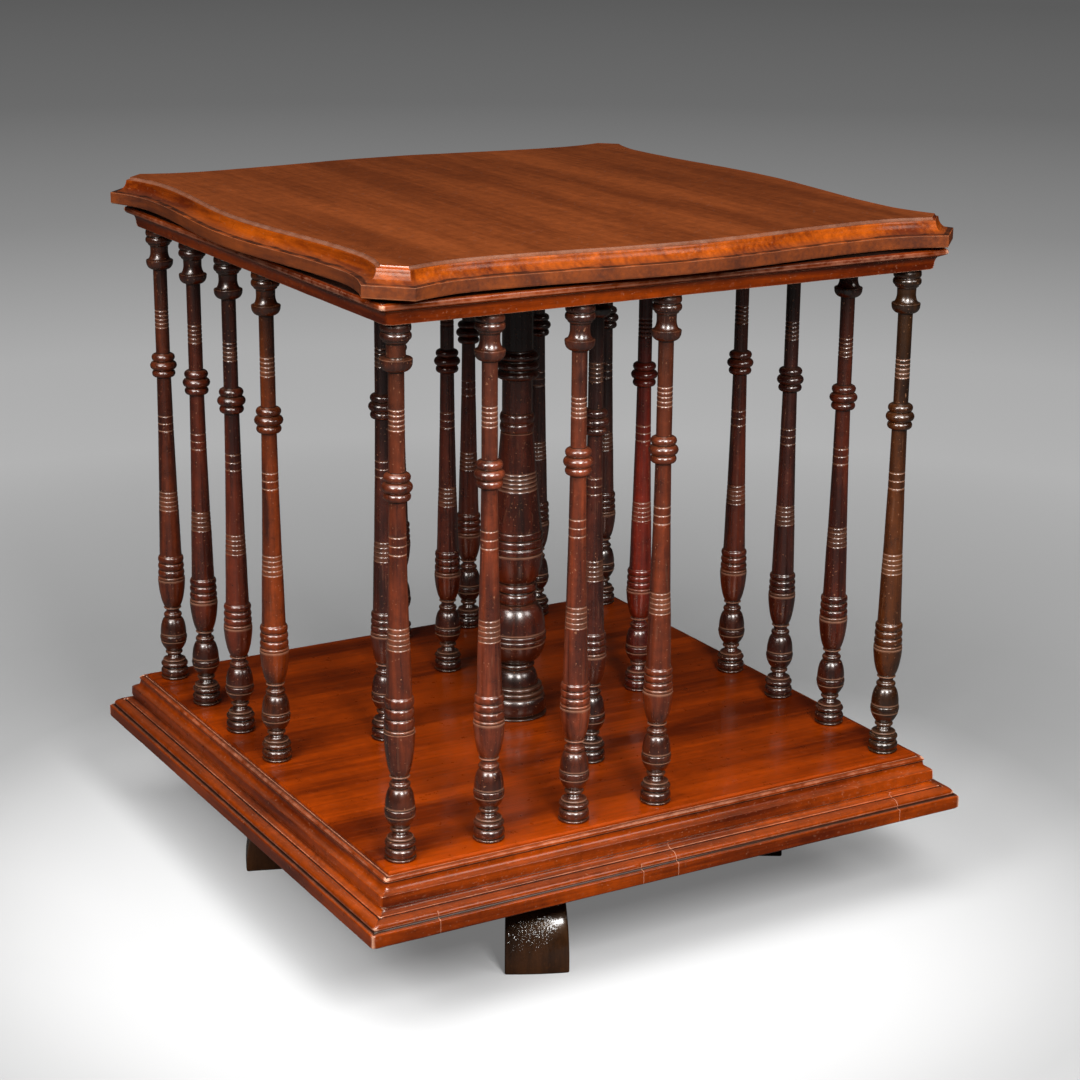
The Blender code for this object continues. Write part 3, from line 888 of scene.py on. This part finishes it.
# %% [markdown]
# ## The profile of a spindle
# Each spindle is turned from one stick: a foot of two rolls, a bulb with a raised ring, a small
# drum, a vase with three reeds, a long taper with scored lines, three beads, a shaft and a head
# with a collar. They were turned by eye, and one copied twenty times would look cast, so the
# profile takes a few shifts.

# %% Draw the profile of a spindle
SPINDLE_TOP = BOOK_SPACE - JOINT_GAP


def spindle_profile(lift, reed, stout, disc):
    """Lift shifts the scored bands, reed is one reed's height, stout scales the swellings.

    With disc the collar of the head is a flat disc.
    """
    shape = Profile(8.6, JOINT_GAP).bead(9.1, 1.6).line(7.6, 1.8).bead(9.2 * stout, 7.4, back=7.0)
    shape.line(6.8, 7.9).line(7.3, 8.2).bead(9.0 * stout, 11.8, back=6.4).line(6.0, 12.1)
    shape.bead(7.5, 13.7, back=6.6, steps=5).cove(4.4, 15.8, steps=5).line(4.0, 16.3).line(4.2, 16.8)
    shape.bead(5.7, 19.3, back=4.5, steps=6).swell(8.7 * stout, 26.2, full=0.45).line(7.9, 26.6)
    shape.line(8.5, 27.0).bead(9.0 * stout, 30.2).line(7.8, 30.7).line(8.6 * stout, 31.1)
    shape.swell(5.3, 42.2, full=0.9, steps=10).line(4.7, 42.7).bead(6.0, 45.7, back=4.9, steps=6)
    shape.cove(4.3, 47.4, steps=4).line(4.2, 48.4).line(4.8, 48.6).bead(5.8, 49.9, back=4.9, steps=5)
    reeds = 70.5 + lift
    shape.swell(9.0 * stout, reeds - 1.2, full=0.7, steps=12).line(8.0, reeds - 0.9)
    shape.bead(8.9 * stout, reeds + 0.9, back=8.0, steps=5)
    for count in range(3):
        low = reeds + 1.0 + count * reed
        crest = (8.75 - 0.12 * count) * stout
        shape.line(crest - 1.1, low).bead(crest, low + reed - 0.35, back=crest - 1.0)
    top_reed = reeds + 1.0 + 3 * reed
    shape.line(7.3 * stout, top_reed).line(6.95, top_reed + 10.0).line(6.5, 116.0 + lift)
    shape.scores(5.9, 131.0 + lift, 5).line(5.3, 160.0).line(5.1, 168.5 + lift)
    shape.scores(4.9, 183.0 + lift, 3).line(4.6, 206.2).line(5.6, 206.4).bead(7.5, 211.0, back=5.6)
    shape.bead(8.7 * stout, 216.8, back=5.6).bead(7.5, 221.8, back=4.8).line(4.5, 222.0)
    shape.line(4.5, 238.0 + lift).scores(4.4, 251.5 + lift, 5).line(4.4, 276.6)
    if disc:
        shape.swell(8.9, 281.6, steps=6).line(8.9, 283.4).line(8.2, 284.0).line(5.4, 284.3).line(5.3, 291.6)
    else:
        shape.swell(8.6 * stout, 281.3, steps=7).bead(8.7 * stout, 282.9, back=8.0, steps=4)
        shape.cove(5.6, 288.5, steps=8).line(5.7, 291.6)
    shape.line(6.9, 292.6).line(7.2, 293.6).bead(8.5, 297.6, back=7.4).line(7.3, 298.1)
    return shape.bead(8.35, 301.6, back=8.1, steps=6).line(8.1, SPINDLE_TOP)


print("a spindle has", len(spindle_profile(0.0, 4.5, 1.0, False).points), "points in its profile")

# %% [markdown]
# ## Turning a profile
# On the lathe the stick turns against the cutter. A Screw modifier could do this too, but the
# spin operator leaves a mesh that can be worked on at once. The scored lines are made pale through
# their wear, as rubbed polish and also as a painted highlight, and the wear is lowered towards the
# head as painted shade under the top.

# %% Turn and age a profile
# Painted shade: from this height up the head is darkened as if under the top.
HEAD_SHADE_FROM = 235.0
HEAD_SHADE_FULL = 280.0
HEAD_SHADE_DROP = 0.15


def spin_profile(points, sides):
    """Spin a line of (out, high) in millimetres once round the upright axis."""
    work = bmesh.new()
    line = [work.verts.new((out * MM, 0.0, high * MM)) for out, high in held(points)]
    edges = [work.edges.new(pair) for pair in zip(line, line[1:])]
    bmesh.ops.spin(
        work, geom=line + edges, cent=(0.0, 0.0, 0.0), axis=(0.0, 0.0, 1.0),
        dvec=(0.0, 0.0, 0.0), angle=2 * math.pi, steps=sides, use_merge=True,
    )
    clean(work)
    return work


def turned_piece(points, sides, scored, pale):
    """A spun piece with its wear; the scored lines get the wear that pale says, a pale mark of
    rubbed polish and painted highlight, and lower wear towards the head is painted shade.
    """
    work = spin_profile(points, sides)
    measure_wear(work, strength=2.6)
    wear = work.verts.layers.float["wear"]
    for vert in work.verts:
        high = vert.co.z / MM
        # Painted shade: lower wear towards the head darkens it as if under the top.
        vert[wear] -= HEAD_SHADE_DROP * min(1.0, max(0.0, (high - HEAD_SHADE_FROM) / (HEAD_SHADE_FULL - HEAD_SHADE_FROM)))
        # Rubbed polish and painted highlight: the scored lines are made pale.
        if any(abs(high - at) < 0.05 for at in scored):
            vert[wear] = pale
    return work


# The painted shade of the head starts at this height.
print("grime starts", HEAD_SHADE_FROM, "mm above the shelf")

# %% [markdown]
# ## The tones of the turned wood
# The sticks came from different boards, so some are plum, others red, rose, brown or orange. The
# darkest tones, for the column and the spindles at the back and inside, are also painted shade
# under the top. One tone for all would look like plastic, so each tone is a finish with its own grain.

# %% Make the finishes of the turned wood
TURNED_TONES = {
    "column": ((0.018, 0.003, 0.002), (0.095, 0.017, 0.008)),
    "plum": ((0.016, 0.003, 0.003), (0.085, 0.019, 0.013)),
    "red": ((0.028, 0.004, 0.002), (0.130, 0.022, 0.008)),
    "russet": ((0.036, 0.006, 0.003), (0.170, 0.034, 0.011)),
    "rose": ((0.065, 0.013, 0.007), (0.270, 0.058, 0.024)),
    "brown": ((0.020, 0.006, 0.001), (0.090, 0.026, 0.004)),
    "orange": ((0.045, 0.007, 0.001), (0.220, 0.040, 0.003)),
    "crimson": ((0.045, 0.004, 0.002), (0.210, 0.019, 0.009)),
}
# Painted shade: the heads are darkened as if in the shade of the top; the feet are darker too.
HEAD_SHADE_AND_DARK_FOOT = [
    (0.00, (0.40, 0.46, 0.60)), (0.13, (0.42, 0.48, 0.62)), (0.20, grey(1.0)), (0.56, grey(1.0)),
    (0.89, (0.48, 0.64, 0.95)),
]
# The pale film on faces that look upwards is dust and also a painted sheen of the overhead lamp.
turned_wood = {
    tone: polished_wood(
        f"mahogany_turned_{tone}", "z", dark, light, (0.36, 0.21, 0.16),
        figure=2.6, coat=1.0, polish=0.25, shine=1.75, worn=0.5, dusty=0.12,
        film=(0.26, 0.18, 0.15), tilt=0.06, uneven=0.2, mottled=0.5, specks=0.45,
        ends=HEAD_SHADE_AND_DARK_FOOT, seed=12.0 + 3 * count,
    )
    for count, (tone, (dark, light)) in enumerate(TURNED_TONES.items())
}
print("tones:", list(turned_wood))

# %% [markdown]
# ## The twenty spindles
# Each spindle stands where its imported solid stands, with a peg in both boards. The shifts could
# be chosen one by one, but a fixed random order gives small differences that are the same every
# time. The front corner's spindle is the odd one out: its bands are higher and its collar is a
# disc.

# %% Make the spindles
PEG = 4.4
SPINDLE_SIDES = 32
# Rubbed polish and painted highlight: the wear that makes scored lines pale, fainter on the darker tones.
SCORE_RUB_AND_HIGHLIGHT = 1.1
FAINT_SCORE_RUB_AND_HIGHLIGHT = 0.84
# Tone and painted shade: the unlisted spindles, at the back and inside, take the dark plum tone.
TONE = {
    "front_1": "russet", "front_2": "rose", "front_3": "rose", "front_4": "russet", "left_1": "russet",
    "left_2": "red", "left_3": "red", "left_4": "orange", "right_1": "brown", "right_2": "red",
    "right_4": "red", "back_3": "red", "back_4": "red", "back_inner": "red", "right_inner": "crimson",
}
order = random.Random(11)
for name in sorted(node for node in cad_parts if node.startswith("spindle_")):
    low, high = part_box(name)
    odd = name == "spindle_front_1"
    lift = 6.0 if odd else order.uniform(-1.5, 1.5)
    reed = 6.2 if odd else order.uniform(4.2, 4.9)
    shape = spindle_profile(lift, reed, order.uniform(0.98, 1.0), odd)
    peg_low = (low.z - shelf_z) / MM
    peg_high = (high.z - shelf_z) / MM
    points = [(0.0, peg_low), (PEG, peg_low), (PEG, JOINT_GAP)] + shape.points
    points += [(PEG, SPINDLE_TOP), (PEG, peg_high), (0.0, peg_high)]
    tone = TONE.get(name.removeprefix("spindle_"), "plum")
    pale = FAINT_SCORE_RUB_AND_HIGHLIGHT if tone in ("plum", "red") else SCORE_RUB_AND_HIGHLIGHT
    work = turned_piece(points, SPINDLE_SIDES, shape.scored, pale)
    at = Vector(((low.x + high.x) / 2, (low.y + high.y) / 2, shelf_z))
    bmesh.ops.translate(work, vec=at, verts=work.verts)
    piece = make_piece(
        f"turned_{name}", work, [turned_wood[tone]], "carousel", [name],
    )
print("spindle:", len(piece.data.polygons), "faces each")

# %% [markdown]
# ## The centre column
# The column is a larger turning of the same family: a broad foot, a ball with a double ring, a
# vase with three rings, a long taper and two groups of beads. The bore for the pivot pin could be
# cut out afterwards, but as the end of the profile, turned back inside, it is spun with the rest.

# %% Turn the column
COLUMN_SIDES = 56
BORE = 6.35
BORE_SPARE = 0.6
LOW_PEG = 11.2
HIGH_PEG = 8.2
shape = Profile(19.6, JOINT_GAP).bead(20.1, 1.4).line(17.2, 1.5).bead(19.8, 14.0).line(16.4, 14.4)
shape.bead(18.0, 17.6, steps=6).line(15.6, 17.9).bead(17.0, 20.9, steps=6).line(14.6, 21.2)
shape.swell(10.6, 31.0, full=0.8).line(9.6, 31.8).bead(12.2, 35.8, back=9.8)
shape.swell(18.9, 49.6, full=0.85, steps=12).line(18.3, 49.9).bead(19.4, 53.1, back=18.4, steps=6)
shape.bead(19.4, 56.4, back=18.3, steps=6).line(18.9, 56.8).swell(12.2, 75.0, full=0.95, steps=14)
shape.line(11.2, 75.4).bead(12.9, 82.6).line(10.9, 83.4).bead(13.3, 88.8, back=11.4).line(11.6, 89.8)
shape.swell(16.9, 109.0, full=0.8, steps=12).line(16.2, 109.4).bead(16.9, 113.2, steps=6)
shape.line(16.1, 113.6).bead(17.3, 118.8).line(16.1, 119.3).bead(17.0, 124.2).line(16.2, 124.8)
shape.line(13.5, 149.5).scores(12.3, 163.0, 5).line(10.4, 187.0).line(9.7, 187.6)
shape.bead(10.9, 193.6, back=9.7).bead(10.9, 199.6, back=9.6).line(9.5, 200.4).line(9.5, 221.0)
shape.line(10.4, 221.4)
for bead_low in (221.4, 227.4, 233.4):
    shape.bead(13.6, bead_low + 5.2, back=10.6).line(10.4, bead_low + 6.0)
shape.line(9.7, 239.8).line(9.6, SPINDLE_TOP)
low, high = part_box("column")
peg_low = (low.z - shelf_z) / MM
peg_high = (high.z - shelf_z) / MM
pin_top = (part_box("pivot_pin")[1].z - shelf_z) / MM + BORE_SPARE
points = [(0.0, pin_top), (BORE, pin_top), (BORE, peg_low), (LOW_PEG, peg_low), (LOW_PEG, JOINT_GAP)]
points += shape.points + [(HIGH_PEG, SPINDLE_TOP), (HIGH_PEG, peg_high), (0.0, peg_high)]
work = turned_piece(points, COLUMN_SIDES, shape.scored, SCORE_RUB_AND_HIGHLIGHT)
bmesh.ops.translate(work, vec=(0.0, 0.0, shelf_z), verts=work.verts)
column = make_piece("turned_column", work, [turned_wood["column"]], "carousel", ["column"])
print("column:", len(column.data.polygons), "faces")

# %% [markdown]
# ## The boards that stay as they are
# The base board and the board under the top are plain drilled squares. They could be modelled
# again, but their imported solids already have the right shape, so they only get a finish.

# %% Finish the boards
def refinish(node_name, finish):
    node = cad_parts[node_name]
    node.data.materials.clear()
    node.data.materials.append(finish)


base_wood = polished_wood(
    "mahogany_base", "x", (0.090, 0.010, 0.0004), (0.310, 0.040, 0.0004), (0.38, 0.12, 0.04),
    coat=0.22, polish=0.16, worn=0.0, seed=4.0,
)
BOARDS = ("base_board", "subtop_board")
for node_name in BOARDS:
    refinish(node_name, base_wood)
print("finished:", BOARDS)

# %% [markdown]
# ## The stain of the foot
# The foot is stained almost black and rubbed brown on its edges. On the front end the polish has
# crazed into small flakes that catch the light one by one. Bump would make round lumps, so each
# cell of a Voronoi pattern tilts the polish its own way, near one place only.

# %% Make the finish of the foot
CRAZED_AT = (-0.083, -0.158, 0.022)
CRAZED_REACH = (0.012, 0.026)
CRAZED_TILT = 0.34
FLAKES = (3000.0, 2100.0)


def vector_step(tree, operation, *values):
    return add_node(tree, "ShaderNodeVectorMath", dict(enumerate(values)), operation=operation)


foot_wood = polished_wood(
    "ebonised_foot", "z", (0.026, 0.012, 0.006), (0.080, 0.034, 0.014), (0.20, 0.085, 0.032),
    figure=1.5, coat=1.0, polish=0.13, shine=1.6, worn=0.8, seed=21.0,
)
tree = foot_wood.node_tree
place = tree.nodes["Texture Coordinate"].outputs["Object"]
away = vector_step(tree, "DISTANCE", place, CRAZED_AT).outputs["Value"]
crazed = spread(tree, away, CRAZED_REACH, (CRAZED_TILT, 0.0))
leaning = add_node(tree, "ShaderNodeNewGeometry").outputs["Normal"]
for flake in FLAKES:
    cell = add_node(tree, "ShaderNodeTexVoronoi", {"Vector": place, "Scale": flake}).outputs["Color"]
    tilt = vector_step(tree, "SUBTRACT", cell, grey(0.5))
    scaled = {0: tilt.outputs[0], "Scale": crazed}
    tilt = add_node(tree, "ShaderNodeVectorMath", scaled, operation="SCALE")
    leaning = vector_step(tree, "ADD", leaning, tilt.outputs[0]).outputs[0]
crazing = vector_step(tree, "NORMALIZE", leaning).outputs[0]
plug(tree, tree.nodes["Principled BSDF"], {"Coat Normal": crazing})
print("finish of the foot:", foot_wood.name)

# %% [markdown]
# ## The side view of a foot rail
# Two rails cross under the base and are halved into each other. Each end has a flat sole, an
# upright face and a rounded shoulder, with an arch between the soles. Blocks joined together
# would show seams, so a rail is one outline with its notch.

# %% Draw a foot rail
FOOT_REACH = 176.0
ARCH_HIGH = 20.0
RAIL_NARROW = 12.5
NOTCH_HALF = RAIL_NARROW + JOINT_GAP
RAIL_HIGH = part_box("foot_rail_lower")[1].z / MM
HALF_LEVEL = (ARCH_HIGH + RAIL_HIGH) / 2
HALVING_GAP = 0.15


def rail_outline(notch_above):
    end = Profile(FOOT_REACH, 0.0).line(FOOT_REACH, 5.0).swell(132.0, 52.0, steps=16)
    end.line(114.0, 57.5).line(96.0, RAIL_HIGH)
    arch = Profile(92.0, ARCH_HIGH).line(112.0, 14.4).line(124.0, 0.0)
    half = arch.points + end.points
    if notch_above:
        half += [(NOTCH_HALF, RAIL_HIGH), (NOTCH_HALF, HALF_LEVEL - HALVING_GAP)]
    else:
        half = [(NOTCH_HALF, HALF_LEVEL + HALVING_GAP), (NOTCH_HALF, ARCH_HIGH)] + half
    return half + [(-out, high) for out, high in reversed(half)]


print("rail outline:", len(rail_outline(True)), "points")

# %% [markdown]
# ## Boring a rail
# The pivot pin passes through both rails where they cross. The hole could be worked into the
# faces by hand, but a Boolean cut with a spun drill does it in one step, as a drill does.

# %% Define the bore
PIN_BORE = 6.3
DRILL_LOW = -5.0
DRILL_HIGH = 90.0


def scratch_object(work):
    mesh = bpy.data.meshes.new("scratch")
    work.to_mesh(mesh)
    work.free()
    item = bpy.data.objects.new("scratch", mesh)
    bpy.context.scene.collection.objects.link(item)
    return item


def bored(work):
    """The same piece with an upright hole through its middle."""
    piece = scratch_object(work)
    drill_line = [(0.0, DRILL_LOW), (PIN_BORE, DRILL_LOW), (PIN_BORE, DRILL_HIGH), (0.0, DRILL_HIGH)]
    drill = scratch_object(spin_profile(drill_line, 24))
    cut = piece.modifiers.new("bore", "BOOLEAN")
    cut.object = drill
    bpy.context.view_layer.update()
    made = bmesh.new()
    made.from_mesh(piece.evaluated_get(bpy.context.evaluated_depsgraph_get()).to_mesh())
    for item in (piece, drill):
        bpy.data.meshes.remove(item.data)
    return made


print("bore of the rails:", 2 * PIN_BORE, "mm")

# %% [markdown]
# ## The cross foot
# Each rail narrows towards the middle, and its end faces are a little rounded from side to side.
# It could be carved from a block, but the outline, ruled where the taper needs a line, extruded
# and pulled to its width, has fewer faces. The arrises are eased after that, so that the bevel keeps
# its width.

# %% Model the foot rails
FOOT_TURN = math.radians(-25.0)
RAIL_HALF = 19.3
TAPER_LONG = 76.0
TAPER_LINES = (-140.0, -100.0, 100.0, 140.0)
ROUND_FROM = 130.0
END_ROUND = 1.0
RAIL_EASE = 1.1


def foot_rail(notch_above, turn):
    work = bmesh.new()
    work.faces.new([work.verts.new((out * MM, 0.0, high * MM)) for out, high in rail_outline(notch_above)])
    for at in TAPER_LINES:
        rule_line(work, (at, 0.0, 0.0), (1.0, 0.0, 0.0))
    moved = bmesh.ops.extrude_face_region(work, geom=work.faces[:])["geom"]
    moved = {part for part in moved if isinstance(part, bmesh.types.BMVert)}
    for vert in work.verts:
        behind = min(TAPER_LONG, FOOT_REACH - abs(vert.co.x) / MM)
        half = (RAIL_HALF + (RAIL_NARROW - RAIL_HALF) * behind / TAPER_LONG) * MM
        vert.co.y = half if vert in moved else -half
    clean(work)
    across = [edge for edge in work.edges if abs(edge.verts[0].co.y - edge.verts[1].co.y) > 20 * MM]
    bmesh.ops.subdivide_edges(work, edges=across, cuts=7, use_grid_fill=True)
    for vert in work.verts:
        share = max(0.0, abs(vert.co.x) / MM - ROUND_FROM) / (FOOT_REACH - ROUND_FROM)
        back_by = END_ROUND * MM * share * (vert.co.y / (RAIL_HALF * MM)) ** 2
        vert.co.x -= math.copysign(back_by, vert.co.x)
    outer = [edge for edge in work.edges if abs(edge.verts[0].co.x) > 50 * MM]
    ease(work, [edge for edge in outer if edge.calc_face_angle(0.0) > 0.7], RAIL_EASE, segments=3)
    work = bored(work)
    clean(work)
    measure_wear(work)
    bmesh.ops.rotate(work, cent=(0, 0, 0), matrix=Matrix.Rotation(turn, 3, "Z"), verts=work.verts)
    return work


for node_name, notch_above, turn in (
    ("foot_rail_lower", True, FOOT_TURN), ("foot_rail_upper", False, FOOT_TURN + math.pi / 2),
):
    work = foot_rail(notch_above, turn)
    arm_name = node_name.replace("rail", "arm")
    rail = make_piece(arm_name, work, [foot_wood], "foot", [node_name])
print("foot rail:", len(rail.data.polygons), "faces")

# %% [markdown]
# ## The bearing
# Between the foot and the base lie two round plates, a brass washer and the pivot pin. Finer
# copies would never be seen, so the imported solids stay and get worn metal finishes: one noise
# makes the metal darker, rougher and a little pitted in the same spots.

# %% Finish the bearing
def worn_metal(name, dark, light, rough):
    made, tree, shader = new_finish(name)
    place = add_node(tree, "ShaderNodeTexCoord").outputs["Object"]
    pits = spots(tree, place, 220.0, 5.0, 0.65)
    bump = add_node(tree, "ShaderNodeBump", {"Strength": 0.2, "Distance": 0.0003, "Height": pits})
    plug(tree, shader, {
        "Base Color": add_ramp(tree, pits, [(0.35, dark), (0.65, light)]), "Metallic": 1.0,
        "Roughness": spread(tree, pits, (0.3, 0.7), (rough + 0.15, rough)), "Normal": bump.outputs[0],
    })
    return made


iron = worn_metal("bearing_iron", (0.020, 0.017, 0.015), (0.075, 0.070, 0.065), 0.50)
steel = worn_metal("pivot_steel", (0.25, 0.24, 0.23), (0.45, 0.45, 0.45), 0.32)
brass = worn_metal("bearing_brass", (0.38, 0.25, 0.09), (0.62, 0.44, 0.16), 0.28)
BEARING = {
    "bearing_plate_lower": iron, "bearing_plate_upper": iron, "pivot_pin": steel,
    "pivot_nut": steel, "thrust_washer": brass, "pivot_bush": brass,
}
for node_name, finish in BEARING.items():
    refinish(node_name, finish)
print("finished:", list(BEARING))
